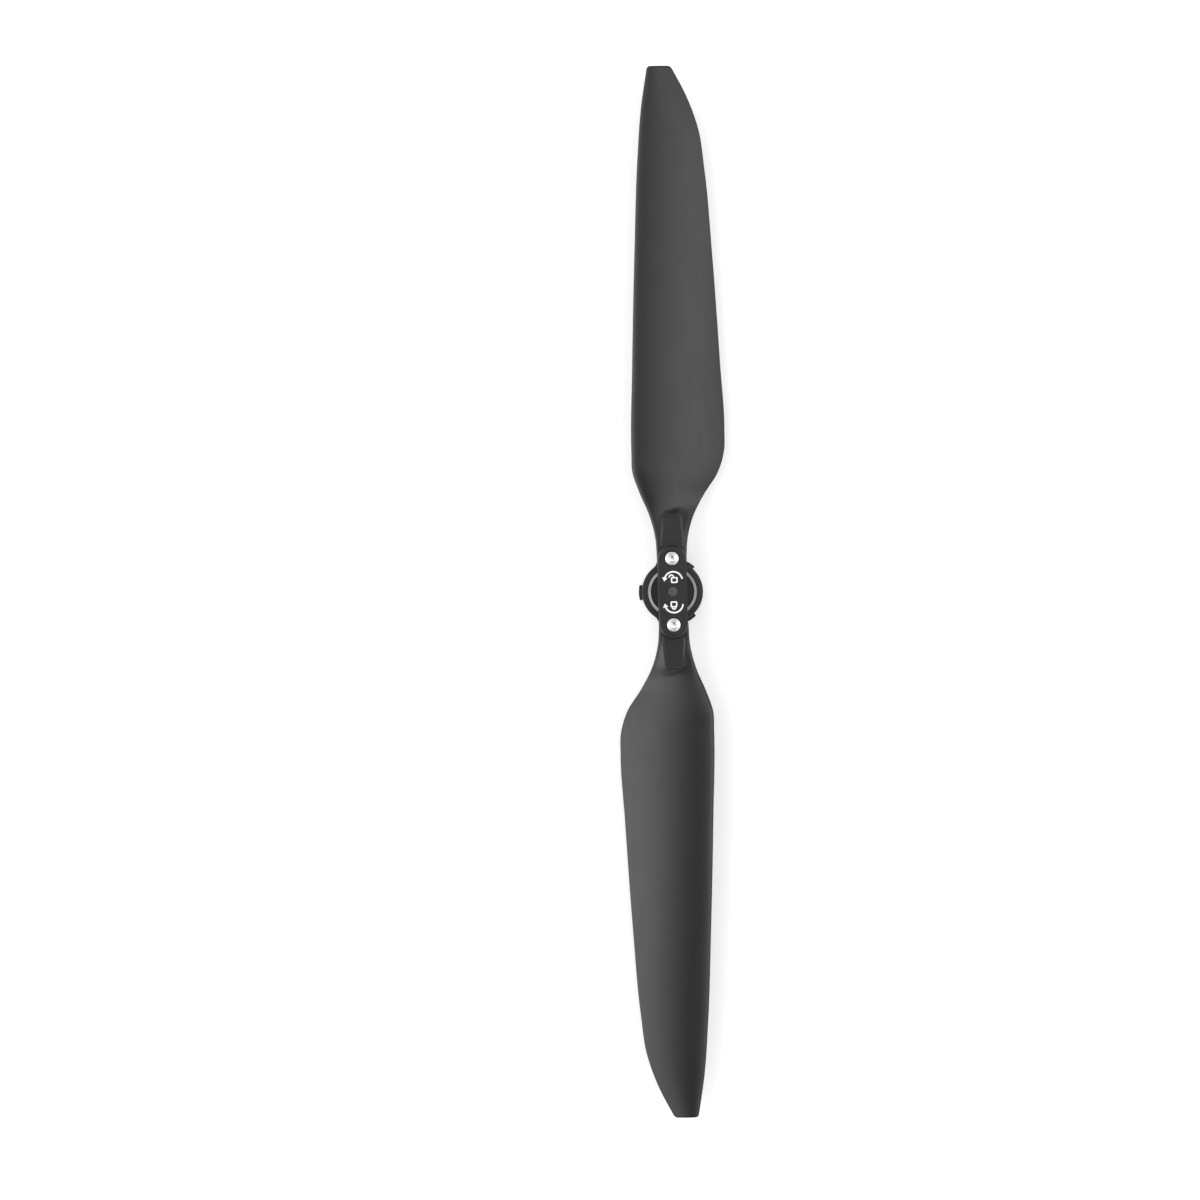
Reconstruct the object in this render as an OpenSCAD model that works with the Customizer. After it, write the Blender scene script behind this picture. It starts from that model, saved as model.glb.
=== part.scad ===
// Folding two-blade propeller with a quick-release bayonet hub.
// The spin axis is Z, the blades lie along Y, and z = 0 is the face that seats on the motor.
// Seen from above it turns counter-clockwise. Millimetres.

/* [Propeller] */
// Diameter swept by the blade tips
diameter = 279.4; // [240:0.1:300]
// Pitch of the blade helix, advance per turn
pitch = 114; // [80:1:120]
// Distance from the spin axis to each fold pivot
pivot_r = 8.8; // [8.7:0.05:9.2]

/* [Hub disc] */
// Radius of the bayonet disc
disc_r = 8.15; // [8:0.05:8.4]
// Height of the disc's rim
disc_h = 3.4; // [3.2:0.1:3.6]
// Radius over the bayonet lugs
lug_r = 8.95; // [8.6:0.05:9.4]
// Thickness of a bayonet lug
lug_h = 1.4; // [1:0.1:1.8]
// Angle that each lug spans
lug_span = 27; // [16:1:30]
// Depth of the hollow under the disc
cup_depth = 1.9; // [1.2:0.1:2.2]

/* [Clamp] */
// Height of the arms' top face, which carries the blade roots
arm_top = 5; // [4.8:0.1:5.4]
// Thickness of the arms
arm_h = 2.8; // [2.6:0.1:3]
// Space between the arms and the top plate
root_gap = 4.3; // [4.2:0.1:4.8]
// Half width of the top plate
plate_r = 3.75; // [3.6:0.05:3.85]
// Length of the top plate
plate_len = 24.8; // [24.4:0.1:25.2]
// Thickness of the top plate
plate_h = 1.6; // [1.5:0.1:2]
// Bevel round the plate's upper edge
plate_bevel = 0.4; // [0.2:0.05:0.6]

/* [Blade] */
// Radius of the eye at the blade's root
eye_r = 3.93; // [3.85:0.01:3.95]
// Greatest thickness of the blade where it leaves the hub
root_t = 3.85; // [3.6:0.05:3.9]
// Greatest thickness of the blade at its tip
tip_t = 0.8; // [0.6:0.05:1.2]
// Camber as a share of the chord
camber = 0.05; // [0.02:0.005:0.07]
// Number of sections between the pivot and the widest part
root_steps = 28; // [20:1:36]
// Number of steps from leading to trailing edge
chord_steps = 14; // [10:1:20]

/* [Motor bore] */
// Radius of the motor shaft's bore
bore_r = 1.5; // [1.4:0.05:1.8]
// Length of the bore's straight wall
bore_len = 5.6; // [5:0.1:5.8]

/* [Hardware] */
// Radius of the pivot screw's shank
screw_r = 1; // [0.9:0.05:1]
// Radius of the screw head
head_r = 1.8; // [1.7:0.05:1.85]
// Outer radius of the bearing sleeve
sleeve_r = 1.75; // [1.7:0.05:1.85]
// Thickness of each washer
washer_t = 0.15; // [0.1:0.05:0.15]
// Outer radius of the threaded insert
thread_insert_r = 1.7; // [1.6:0.05:1.8]

/* [Hidden] */
$fn = 96;
over = 0.5;                                   // how far a cutter runs past a face

// heights
plate_z = arm_top + root_gap;                 // plate's underside
plate_top = plate_z + plate_h;
arm_z = arm_top - arm_h;                      // arms' underside
axial_play = 0.05;                            // between a blade's eye and each washer
eye_z = arm_top + washer_t + axial_play;
eye_top = plate_z - washer_t - axial_play;

// hub
floor_z = disc_h - 0.5;                       // sunk floor inside the marker ring
ring_in = 5.75;
ring_out = 6.5;
ring_z = floor_z - 0.1;
arm_r = 3.85;
ring_side = max(arm_r, plate_r) + 0.05;       // the ring stops short of the arms at this x
disc_bevel = 0.25;
cup_out = disc_r - 1.4;
cup_in = 3.6;
rib_t = 0.8;
rib_z = 0.6;
rib_root = 0.2;                               // how far the ribs run into the walls round them
web_x = 3.7;
web_y = 4.4;
web_corner = 0.6;
lug_ramp = 22;                                // lead-in on each lug's clockwise end
lug_ramp_len = 1.2;
corner_round = 3;                             // rounding between the disc's edge and an arm's side
corner_h = 0.8;                               // height of that corner, from the arms' underside up
corner_dip = 0.03;                            // how far the rounding runs into the disc and the arm
plate_half = plate_len / 2 - plate_r;         // from the middle to the plate's end centres

// centre insert
insert_r = 2.4;
insert_z = 0.3;
insert_top = 7;
stub_r = 1.25;
bore_bevel = 0.25;
press_gap = 0.02;

// pivots
shank_hole = screw_r + 0.05;
head_z = plate_top - 0.9;
head_top = plate_top + 0.1;
head_bevel = 0.15;
well_r = head_r + 0.15;
socket_r = 0.8;
socket_d = 0.6;
sleeve_hole = sleeve_r + 0.04;
washer_in = sleeve_r + 0.05;
washer_out = 3.4;
groove_r = thread_insert_r - 0.3;             // groove round the middle of the threaded insert
groove_h = 0.8;
groove_z = arm_z + (arm_h - groove_h) / 2;
shank_end = arm_z + 0.3;

// printed marks: centres and sizes on the plate's face
ink_t = 0.05;
ink_w = 0.42;                                 // stroke of the arrows
lock_w = 0.36;                                // stroke of the padlocks
arrow_r = 2.4;
head_half = 0.75;
head_len = 1;
head_tilt = 10;                               // the arrow heads turn in by this much
body_w = 1.8;
body_h = 1.6;
body_corner = 0.35;
unlock_arrow = [0.19, 2.88, 0];
unlock_ends = [11, 158];
unlock_body = [0.46, 3.08, 0];
unlock_shackle = [-0.3, 3.84, 0];
unlock_shackle_r = 0.58;
lock_arrow = [0.2, -3.15, 0];
lock_ends = [203, 355];
lock_body = [0.18, -3.35, 0];
lock_shackle = [0.18, -4.2, 0];
lock_shackle_r = 0.42;
shackle_leg = 0.2;

// blade
tip_r = diameter / 2;
outline_r = 139.7;                            // tip radius that the points of the outline are for
tip_corner = 0.8;
swell_r = 85;                                 // inside this radius the helix angle hardly grows
twist_in = 8;
twist_out = 27;
slab_end = 11.5;                              // inside this radius the section is a plain slab
pad_top = eye_top - 0.15;
pad_mid = 0.08;                               // flat pad's centre line, towards the trailing edge
pad_w = 2.7;                                  // flat pad's half width at radius pad_from
pad_from = 13;
pad_taper = 0.075;                            // how fast the half width falls with radius
pad_end = 20.2;
pad_corner = 1;
pad_slope = 0.95;                             // fall of the pad's wall
pad_round = 0.7;                              // width of the rounding along the pad's edge
skin_round = 0.3;                             // width of the rounding where the pad meets the blade
pocket_slope = 1.2;                           // rise of the wall where the blade stands above the pad
flat_end = 13.2;                              // inside this radius the root stays between the washers
flat_rise = 0.8;                              // how fast the blade may leave that space beyond it
skin_gap = 0.02;                              // how far the skin stays inside the eye's faces
root_end = 32;
mid_steps = 18;
tip_start = 131;
tip_steps = 9;
nose_root = 0.12;                             // the nose is blunt at the root and rounder further out
nose_power = 0.32;
nose_end = 42;
tail_power = 0.9;
slab_power = 10;
// distance of the leading and trailing edges from the blade's radial line, as [radius, offset]
leading = [
    [8.8, 3.95], [14, 4.2], [20, 5.55], [27, 8.3], [32, 9.85], [37, 9.95],
    [60, 9.1], [90, 7.65], [115, 6.15], [128, 4.9], [140, 2.9]
];
trailing = [
    [8.8, 3.9], [14, 4.35], [20, 6.05], [26, 9.3], [31, 12.7], [37, 14.75], [43, 15.05],
    [60, 14.4], [90, 13.05], [112, 11.65], [123, 10.25], [131, 7.6], [140, 3.2]
];
// thickness of the section and of its trailing edge, as [radius, thickness]
thickness = [
    [8.8, root_t], [12, root_t], [14, root_t - 0.45], [18, 2.85], [23, 2.35], [32, 2.1],
    [60, 1.75], [100, 1.35], [140, tip_t]
];
// height of the helix's axis, as [radius, height]
axis = [[8.8, 7.1], [16, 7.1], [23, 6.5], [30, 6.45], [40, 6.45], [140, 6.45]];
tail = [[8.8, 1.8], [18, 1.3], [28, 0.7], [40, 0.5], [140, 0.4]];

// curve through [x, y] points, with each slope taken from the points on both sides
function rise(p, i) = (p[i + 1][1] - p[i][1]) / (p[i + 1][0] - p[i][0]);
function step(p, i) = p[i + 1][0] - p[i][0];
function slope(p, i) =
    i == 0 ? rise(p, 0)
    : i == len(p) - 1 ? rise(p, i - 1)
    : (rise(p, i - 1) * step(p, i) + rise(p, i) * step(p, i - 1)) / (step(p, i - 1) + step(p, i));
function span_of(p, x, i = 0) = i >= len(p) - 2 || x < p[i + 1][0] ? i : span_of(p, x, i + 1);
function hermite(p, i, t) =
    p[i][1] * (2 * t ^ 3 - 3 * t ^ 2 + 1) + p[i + 1][1] * (3 * t ^ 2 - 2 * t ^ 3)
    + step(p, i) * (slope(p, i) * (t ^ 3 - 2 * t ^ 2 + t) + slope(p, i + 1) * (t ^ 3 - t ^ 2));
function curve(p, x) = let (i = span_of(p, x)) hermite(p, i, (x - p[i][0]) / step(p, i));

function ease(t) = let (c = min(1, max(0, t))) c * c * (3 - 2 * c);
function blend_max(a, b, k) = (a + b + sqrt((a - b) ^ 2 + k ^ 2)) / 2;
function blend_min(a, b, k) = (a + b - sqrt((a - b) ^ 2 + k ^ 2)) / 2;

// how much the tip's rounded corner takes off each edge at radius r
function corner_cut(r) =
    let (d = max(0, r - (tip_r - tip_corner))) tip_corner - sqrt(max(0, tip_corner ^ 2 - d ^ 2));
// the outline's radius is the curves' own, stretched with the diameter
function lead(r) = curve(leading, r * outline_r / tip_r) - corner_cut(r);
function trail(r) = curve(trailing, r * outline_r / tip_r) - corner_cut(r);

// both 0 at the flat root and 1 where the blade is a full airfoil: of the twist, and of the section's shape
function airfoil_share(r) = ease((r - twist_in) / (twist_out - twist_in));
function shape_share(r) = ease((r - slab_end) / (twist_out - slab_end));
function fall(r) = airfoil_share(r) * pitch / (2 * PI * (r ^ 4 + swell_r ^ 4) ^ 0.25);

// half thickness at share s of the chord, as a share of the greatest half thickness
function slab_shape(s) = (1 - abs(2 * s - 1) ^ slab_power) ^ (1 / slab_power);
function nose(r) = nose_root + (nose_power - nose_root) * ease((r - twist_in) / (nose_end - twist_in));
function foil(s, n) = s ^ n * (1 - s) ^ tail_power;
function foil_shape(s, n) = foil(s, n) / foil(n / (n + tail_power), n);
function half_t(r, s) =
    let (w = shape_share(r), shape = (1 - w) * slab_shape(s) + w * foil_shape(s, nose(r)))
    curve(thickness, r) / 2 * shape + curve(tail, r) / 2 * s ^ 2 * (1 - shape);

// distance outside the flat pad's outline
function pad_half(r) = pad_w - pad_taper * (r - pad_from);
function pad_away(x, r) =
    let (qx = abs(x - pad_mid) - (pad_half(r) - pad_corner), qy = r - (pad_end - pad_corner))
    norm([max(qx, 0), max(qy, 0)]) + min(max(qx, qy), 0) - pad_corner;
function pad_drop(away) = pad_slope * (norm([max(away, 0), pad_round]) - pad_round);

function middle_z(r, s, x) =
    curve(axis, r) - x * fall(r) + 4 * camber * airfoil_share(r) * (lead(r) + trail(r)) * s * (1 - s);
// how far beyond the washers' faces the blade may reach at radius r
function flat_room(r) = flat_rise * max(0, r - flat_end) - skin_gap;
// side is 1 on the upper face and -1 on the lower
function skin_z(r, s, x, side) =
    let (z = middle_z(r, s, x) + side * half_t(r, s) * sqrt(1 + fall(r) ^ 2))
    let (away = pad_away(x, r), drop = pad_drop(away), pocket = pocket_slope * max(away, 0))
    s == 0 ? z
    : side > 0 ? min(blend_max(z, pad_top - drop, skin_round), pad_top + pocket, eye_top + flat_room(r))
    : max(blend_min(z, eye_z + skin_gap + drop, skin_round), eye_z - flat_room(r));
function skin_point(r, s, side) =
    let (x = s * trail(r) - (1 - s) * lead(r)) [x, r, skin_z(r, s, x, side)];
// closer together at both edges of the chord
function share(k) = (1 - cos(180 * k / chord_steps)) / 2;
// a section runs over the top from trailing to leading edge and back underneath
function section(r) = concat(
    [for (k = [chord_steps:-1:0]) skin_point(r, share(k), 1)],
    [for (k = [1:chord_steps]) skin_point(r, share(k), -1)]
);
// radii of the sections, closer together at the root and round the tip's corners
radii = concat(
    [for (k = [0:root_steps - 1]) pivot_r + (root_end - pivot_r) * k / root_steps],
    [for (k = [0:mid_steps - 1]) root_end + (tip_start - root_end) * k / mid_steps],
    [for (k = [0:tip_steps]) tip_start + (tip_r - tip_start) * sin(90 * k / tip_steps)]
);

module blade_skin() {
    ring = 2 * chord_steps + 1;
    last = len(radii) - 1;
    points = [for (r = radii) each section(r)];
    sides = [
        for (j = [0:last - 1], k = [0:ring - 1])
            let (a = j * ring + k, b = j * ring + (k + 1) % ring)
                each [[a, b, b + ring], [a, b + ring, a + ring]]
    ];
    root_cap = [for (k = [ring - 1:-1:0]) k];
    tip_cap = [for (k = [0:ring - 1]) last * ring + k];
    polyhedron(points, concat(sides, [root_cap, tip_cap]), convexity = 6);
}

module blade() {
    color([0.2, 0.2, 0.21]) difference() {
        union() {
            blade_skin();
            translate([0, pivot_r, eye_z]) cylinder(r = eye_r, h = eye_top - eye_z);
        }
        translate([0, pivot_r, eye_z - over]) cylinder(r = sleeve_hole, h = eye_top - eye_z + 2 * over);
    }
}

// a straight disc and bar with the upper edge bevelled
module bevel_disc(r, h, bevel) {
    cylinder(r = r, h = h - bevel);
    translate([0, 0, h - bevel]) cylinder(r1 = r, r2 = r - bevel, h = bevel);
}

module bevel_bar(r, half, h, bevel) {
    for (y = [-half, half]) translate([0, y, 0]) bevel_disc(r, h, bevel);
    side = [[-r, 0], [r, 0], [r, h - bevel], [r - bevel, h], [bevel - r, h], [-r, h - bevel]];
    translate([0, half, 0]) rotate([90, 0, 0]) linear_extrude(2 * half) polygon(side);
}

// a flat rectangle with rounded corners, centred on the origin
module round_box(w, h, corner) {
    square([w - 2 * corner, h], center = true);
    square([w, h - 2 * corner], center = true);
    for (x = [-1, 1], y = [-1, 1])
        translate([x * (w / 2 - corner), y * (h / 2 - corner)]) circle(r = corner);
}

// puts its children at both pivots
module at_pivots() {
    for (y = [-pivot_r, pivot_r]) translate([0, y, 0]) children();
}

module lugs() {
    reach = 2 * lug_r;
    for (a = [60, 180, 300]) rotate(a) linear_extrude(lug_h) intersection() {
        circle(r = lug_r);
        polygon([[0, 0], [reach, -reach * tan(lug_span / 2)], [reach, reach * tan(lug_span / 2)]]);
    }
}

// what the lead-in ramps take off the lugs' clockwise ends
module lug_ramps() {
    for (a = [60, 180, 300])
        rotate(a - lug_span / 2) translate([disc_r, lug_ramp_len, lug_h]) rotate([lug_ramp, 0, 0])
            translate([0, -lug_r / 2, 0]) cube([lug_r / 2, lug_r / 2, lug_h]);
}

module hub_disc() {
    difference() {
        union() {
            bevel_disc(disc_r, disc_h, disc_bevel);
            difference() {
                lugs();
                lug_ramps();
            }
        }
        translate([0, 0, floor_z]) cylinder(r = ring_in, h = disc_h);
        translate([0, 0, -over]) difference() {
            cylinder(r = cup_out, h = cup_depth + over);
            translate([0, 0, -over]) cylinder(r = cup_in, h = cup_depth + 3 * over);
        }
    }
    for (a = [0:60:300])
        rotate(a) translate([cup_in - rib_root, -rib_t / 2, rib_z])
            cube([cup_out - cup_in + 2 * rib_root, rib_t, cup_depth - rib_z + rib_root]);
}

module ring_arcs(z, h, side) {
    difference() {
        translate([0, 0, z]) cylinder(r = ring_out, h = h);
        translate([0, 0, z - over]) cylinder(r = ring_in, h = h + 2 * over);
        translate([-side, -disc_r, z - over]) cube([2 * side, 2 * disc_r, h + 2 * over]);
    }
}

// rounds out the corner between the disc's edge and an arm's side
module corner_web() {
    x = arm_r + corner_round - corner_dip;
    y = sqrt((disc_r + corner_round - corner_dip) ^ 2 - x ^ 2);
    inside = [x, y] * (disc_r - over) / norm([x, y]);
    translate([0, 0, arm_z]) linear_extrude(corner_h) difference() {
        polygon([[arm_r - over, y], [arm_r - over, inside[1]], inside, [x, y]]);
        translate([x, y]) circle(r = corner_round);
    }
}

module hub_base() {
    color([0.17, 0.17, 0.18]) difference() {
        union() {
            hub_disc();
            translate([0, 0, arm_z]) linear_extrude(arm_h) {
                for (y = [-pivot_r, pivot_r]) translate([0, y]) circle(r = arm_r);
                square([2 * arm_r, 2 * pivot_r], center = true);
            }
            for (x = [0, 1], y = [0, 1]) mirror([x, 0, 0]) mirror([0, y, 0]) corner_web();
            translate([0, 0, floor_z]) linear_extrude(plate_z - floor_z)
                round_box(2 * web_x, 2 * web_y, web_corner);
        }
        ring_arcs(ring_z, disc_h, ring_side - press_gap);
        translate([0, 0, -over]) cylinder(r = insert_r + press_gap, h = insert_top + over);
        cylinder(r = stub_r + press_gap, h = plate_z + over);
        at_pivots() insert_shape(press_gap);
    }
}

module marker_ring() {
    color([0.55, 0.55, 0.56]) ring_arcs(ring_z, disc_h - ring_z, ring_side);
}

module centre_insert() {
    color([0.62, 0.63, 0.65]) difference() {
        union() {
            translate([0, 0, insert_z]) cylinder(r = insert_r, h = insert_top - insert_z);
            translate([0, 0, insert_z]) cylinder(r = stub_r, h = plate_top - insert_z);
        }
        translate([0, 0, insert_z - over]) cylinder(r = bore_r, h = bore_len + bore_bevel + over);
        translate([0, 0, insert_z]) cylinder(r1 = bore_r + bore_bevel, r2 = bore_r, h = bore_bevel);
    }
}

module top_plate() {
    color([0.15, 0.15, 0.16]) translate([0, 0, plate_z]) difference() {
        bevel_bar(plate_r, plate_half, plate_h, plate_bevel);
        translate([0, 0, -over]) cylinder(r = stub_r + press_gap, h = plate_h + 2 * over);
        at_pivots() {
            translate([0, 0, -over]) cylinder(r = shank_hole, h = plate_h + 2 * over);
            translate([0, 0, head_z - plate_z]) cylinder(r = well_r, h = plate_h);
        }
    }
}

// an arc of ink from angle a to angle b, counter-clockwise, about the origin
module ink_arc(r, w, a, b) {
    rotate(a) rotate_extrude(angle = b - a) translate([r - w / 2, 0]) square([w, ink_t]);
}

// an arrow head whose base crosses the arrow's circle at angle a; turn is 1 for counter-clockwise
module ink_head(a, turn) {
    rotate(a) translate([arrow_r, 0, 0]) rotate(turn * head_tilt)
        linear_extrude(ink_t) polygon([[head_half, 0], [0, turn * head_len], [-head_half, 0]]);
}

// an open frame, the padlock's body
module ink_body() {
    linear_extrude(ink_t) difference() {
        round_box(body_w, body_h, body_corner);
        round_box(body_w - 2 * lock_w, body_h - 2 * lock_w, body_corner / 2);
    }
}

module unlock_mark() {
    color("white") translate([0, 0, plate_top]) {
        translate(unlock_arrow) {
            ink_arc(arrow_r, ink_w, unlock_ends[0], unlock_ends[1]);
            ink_head(unlock_ends[1], 1);
        }
        translate(unlock_body) ink_body();
        translate(unlock_shackle) ink_arc(unlock_shackle_r, lock_w, 5, 188);
    }
}

module lock_mark() {
    color("white") translate([0, 0, plate_top]) {
        translate(lock_arrow) {
            ink_arc(arrow_r, ink_w, lock_ends[0], lock_ends[1]);
            ink_head(lock_ends[0], -1);
        }
        translate(lock_body) ink_body();
        translate(lock_shackle) {
            ink_arc(lock_shackle_r, lock_w, 180, 360);
            for (x = [-lock_shackle_r, lock_shackle_r])
                translate([x - lock_w / 2, 0, 0]) cube([lock_w, shackle_leg, ink_t]);
        }
    }
}

module pivot_sleeve() {
    color([0.75, 0.68, 0.42]) translate([0, pivot_r, arm_top]) difference() {
        cylinder(r = sleeve_r, h = root_gap);
        translate([0, 0, -over]) cylinder(r = shank_hole, h = root_gap + 2 * over);
    }
}

module washer(z) {
    color([0.1, 0.1, 0.1]) translate([0, pivot_r, z]) difference() {
        cylinder(r = washer_out, h = washer_t);
        translate([0, 0, -over]) cylinder(r = washer_in, h = washer_t + 2 * over);
    }
}

module pivot_screw() {
    color([0.8, 0.8, 0.82]) translate([0, pivot_r, 0]) difference() {
        union() {
            translate([0, 0, shank_end]) cylinder(r = screw_r, h = head_z - shank_end);
            translate([0, 0, head_z]) bevel_disc(head_r, head_top - head_z, head_bevel);
        }
        translate([0, 0, head_top - socket_d]) cylinder(r = socket_r, h = socket_d + over, $fn = 6);
    }
}

// the threaded insert's outside, grown by gap all round
module insert_shape(gap) {
    flange_h = groove_z - arm_z;
    translate([0, 0, arm_z]) cylinder(r = groove_r + gap, h = arm_h);
    for (z = [arm_z, arm_top - flange_h])
        translate([0, 0, z - gap]) cylinder(r = thread_insert_r + gap, h = flange_h + 2 * gap);
}

module threaded_insert() {
    color([0.78, 0.62, 0.3]) translate([0, pivot_r, 0]) difference() {
        insert_shape(0);
        translate([0, 0, arm_z - over]) cylinder(r = screw_r + press_gap, h = arm_h + 2 * over);
    }
}

// the second blade and its hardware are the first turned half a turn about the spin axis
module half_turn() {
    rotate([0, 0, 180]) children();
}

hub_base();
marker_ring();
centre_insert();
top_plate();
unlock_mark();
lock_mark();
blade();  // blade_a
half_turn() blade();  // blade_b
pivot_sleeve();  // pivot_sleeve_a
half_turn() pivot_sleeve();  // pivot_sleeve_b
washer(arm_top);  // lower_washer_a
half_turn() washer(arm_top);  // lower_washer_b
washer(plate_z - washer_t);  // upper_washer_a
half_turn() washer(plate_z - washer_t);  // upper_washer_b
pivot_screw();  // pivot_screw_a
half_turn() pivot_screw();  // pivot_screw_b
threaded_insert();  // threaded_insert_a
half_turn() threaded_insert();  // threaded_insert_b
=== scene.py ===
"""The looks of the folding propeller: detailed meshes, materials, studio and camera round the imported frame.

Sizes are millimetres, as in part.scad, until a piece is finished, and then metres.
"""

from math import atan2, cos, pi, radians, sin, sqrt

import bmesh
import bpy
import numpy as np
from mathutils import Matrix, Vector

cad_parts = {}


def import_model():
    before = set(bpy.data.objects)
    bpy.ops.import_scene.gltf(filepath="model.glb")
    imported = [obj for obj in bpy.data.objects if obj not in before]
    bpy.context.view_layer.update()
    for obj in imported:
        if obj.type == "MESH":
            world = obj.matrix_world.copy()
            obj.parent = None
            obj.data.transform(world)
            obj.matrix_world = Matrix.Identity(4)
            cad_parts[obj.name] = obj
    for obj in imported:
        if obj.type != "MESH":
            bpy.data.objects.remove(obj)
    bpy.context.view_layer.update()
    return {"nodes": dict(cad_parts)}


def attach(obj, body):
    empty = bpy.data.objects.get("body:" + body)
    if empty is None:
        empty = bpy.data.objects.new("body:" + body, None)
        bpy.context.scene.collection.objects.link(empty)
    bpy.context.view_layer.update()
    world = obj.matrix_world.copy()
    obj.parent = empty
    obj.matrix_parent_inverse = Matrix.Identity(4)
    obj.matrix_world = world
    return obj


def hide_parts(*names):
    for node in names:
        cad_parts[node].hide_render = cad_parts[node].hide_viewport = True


MM = 0.001

# ---------------------------------------------------------------- sizes, as in part.scad

PITCH = 114
PIVOT_R = 8.8
DISC_R, DISC_H, FLOOR_Z, DISC_ROUND = 8.15, 3.4, 2.9, 0.25
CUP_IN, CUP_OUT, CUP_DEPTH = 3.6, 6.75, 1.9
RIB_T, RIB_Z = 0.8, 0.6
LUG_R, LUG_H, LUG_SPAN, LUG_RAMP, LUG_RAMP_LEN = 8.95, 1.4, 27, 22, 1.2
LUG_ANGLES = (60, 180, 300)
ARM_R, ARM_Z, ARM_TOP = 3.85, 2.2, 5
CORNER_ROUND, CORNER_H, CORNER_DIP = 3, 0.8, 0.03
PLATE_Z, PLATE_TOP, PLATE_R, PLATE_LEN = 9.3, 10.9, 3.75, 24.8
WEB_X, WEB_Y, WEB_CORNER = 3.7, 4.4, 0.6
RING_IN, RING_OUT, RING_Z, RING_SIDE = 5.75, 6.5, 2.8, 3.9
INSERT_R, INSERT_Z, INSERT_TOP, STUB_R, BORE_R, BORE_LEN = 2.4, 0.3, 7, 1.25, 1.5, 5.6
PRESS_GAP = 0.02
SCREW_R, SHANK_END, SHANK_HOLE = 1, 2.5, 1.05
HEAD_R, HEAD_Z, HEAD_TOP, WELL_R = 1.8, 10, 11, 1.95
SOCKET_R, SOCKET_D = 0.87, 0.6
THREAD_PITCH, THREAD_DEPTH, RING_PITCH, RING_DEPTH = 0.4, 0.2, 0.21, 0.012
THREAD_R, GROOVE_R, GROOVE_H = 1.7, 1.4, 0.8
KNURLS, KNURL_DEPTH, KNURL_LEAN = 10, 0.05, 0.3
SLEEVE_R, SLEEVE_HOLE = 1.75, 1.79
WASHER_T, WASHER_IN, WASHER_OUT = 0.15, 1.8, 3.4
EYE_R, EYE_Z, EYE_TOP = 3.93, 5.2, 9.1

# the blade's outline, thickness and root pad, as in part.scad
TIP_R, TIP_CORNER, ROOT_T, TIP_T, CAMBER = 139.7, 0.8, 3.85, 0.8, 0.05
SWELL_R, TWIST_IN, TWIST_OUT, SLAB_END = 85, 8, 27, 11.5
PAD_TOP, PAD_MID, PAD_W, PAD_FROM, PAD_TAPER = 8.95, 0.08, 2.7, 13, 0.075
PAD_END, PAD_CORNER, PAD_SLOPE, PAD_ROUND, SKIN_ROUND = 20.2, 1, 0.95, 0.7, 0.3
POCKET_SLOPE, POCKET_ROUND, SKIN_GAP = 1.2, 0.16, 0.02
FLAT_END, FLAT_RISE = 13.2, 0.8
NOSE_ROOT, NOSE_POWER, NOSE_END = 0.12, 0.37, 42   # a little finer at NOSE_END than part.scad's 0.32
TAIL_POWER, SLAB_POWER = 0.9, 10
AXIS = ((8.8, 7.1), (16, 7.1), (23, 6.5), (30, 6.45), (40, 6.45), (140, 6.45))
LEADING = (
    (8.8, 3.95), (14, 4.2), (20, 5.55), (27, 8.3), (32, 9.85), (37, 9.95),
    (60, 9.1), (90, 7.65), (115, 6.15), (128, 4.9), (140, 2.9),
)
TRAILING = (
    (8.8, 3.9), (14, 4.35), (20, 6.05), (26, 9.3), (31, 12.7), (37, 14.75), (43, 15.05),
    (60, 14.4), (90, 13.05), (112, 11.65), (123, 10.25), (131, 7.6), (140, 3.2),
)
THICKNESS = (
    (8.8, ROOT_T), (12, ROOT_T), (14, ROOT_T - 0.45), (18, 2.85), (23, 2.35), (32, 2.1),
    (60, 1.75), (100, 1.35), (140, TIP_T),
)
TAIL = ((8.8, 1.8), (18, 1.3), (28, 0.7), (40, 0.5), (140, 0.4))

# small edges and roundings that only the visual pieces have, and the clamp plate's rounded top
MOULD_EDGE, LUG_EDGE, LUG_ROUND, PLATE_EDGE, WELL_FLARE = 0.15, 0.12, 0.2, 0.12, 0.07
EYE_EDGE, EYE_FLARE = 0.12, 0.08
PLATE_SIDE_ROUND, PLATE_END_ROUND, PLATE_DROP = 0.05, 1.15, 0.8

# how finely the blade's skin is divided: its root ends and its tip starts at these radii
ROOT_END, TIP_START = 34, 131
ROOT_SECTIONS, MID_SECTIONS, TIP_SECTIONS, CHORD_STEPS = 126, 110, 30, 64
LUG_SECTIONS, ARC_STEPS = 28, 13
ROUND, FINE_ROUND = 96, 192                   # sides of a turned surface
MERGE = 0.002                                 # points closer than this are one
PAST = 1                                      # how far a cutting tool passes the surface it cuts

# ---------------------------------------------------------------- mesh building


def solid(name, points, faces):
    """A mesh object from points in millimetres."""
    mesh = bpy.data.meshes.new(name)
    mesh.from_pydata([tuple(p) for p in points], [], faces)
    mesh.update()
    obj = bpy.data.objects.new(name, mesh)
    bpy.context.scene.collection.objects.link(obj)
    return obj


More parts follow.
